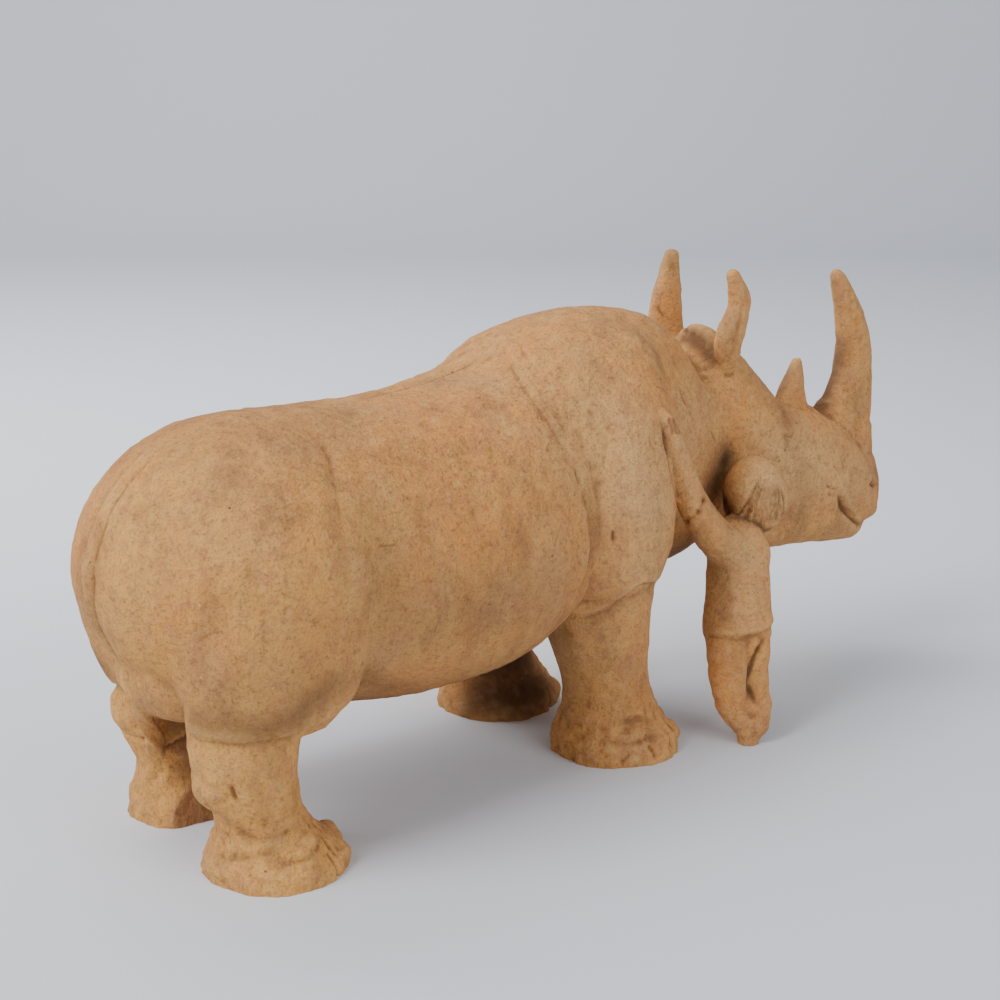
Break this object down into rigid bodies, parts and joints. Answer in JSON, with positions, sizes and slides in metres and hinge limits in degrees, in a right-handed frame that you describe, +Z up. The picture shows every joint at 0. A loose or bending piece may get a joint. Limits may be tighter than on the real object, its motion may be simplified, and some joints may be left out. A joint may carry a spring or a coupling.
{
  "type": "rhinoceros figurine",
  "caption": "Fired-clay figurine of a standing rhinoceros with two horns and tall ears, and a small person clinging to its right cheek.",
  "frame": {"origin": "middle of the figurine's box, at the level of the soles", "axes": "+X towards the rhinoceros's head, +Y to its left, +Z up"},
  "size_m": [0.5608, 0.197, 0.2705],
  "materials": {
    "terracotta": "matt, unglazed, a little rough"
  },
  "bodies": {
    "root": {"rhinoceros": "terracotta"}
  },
  "joints": []
}
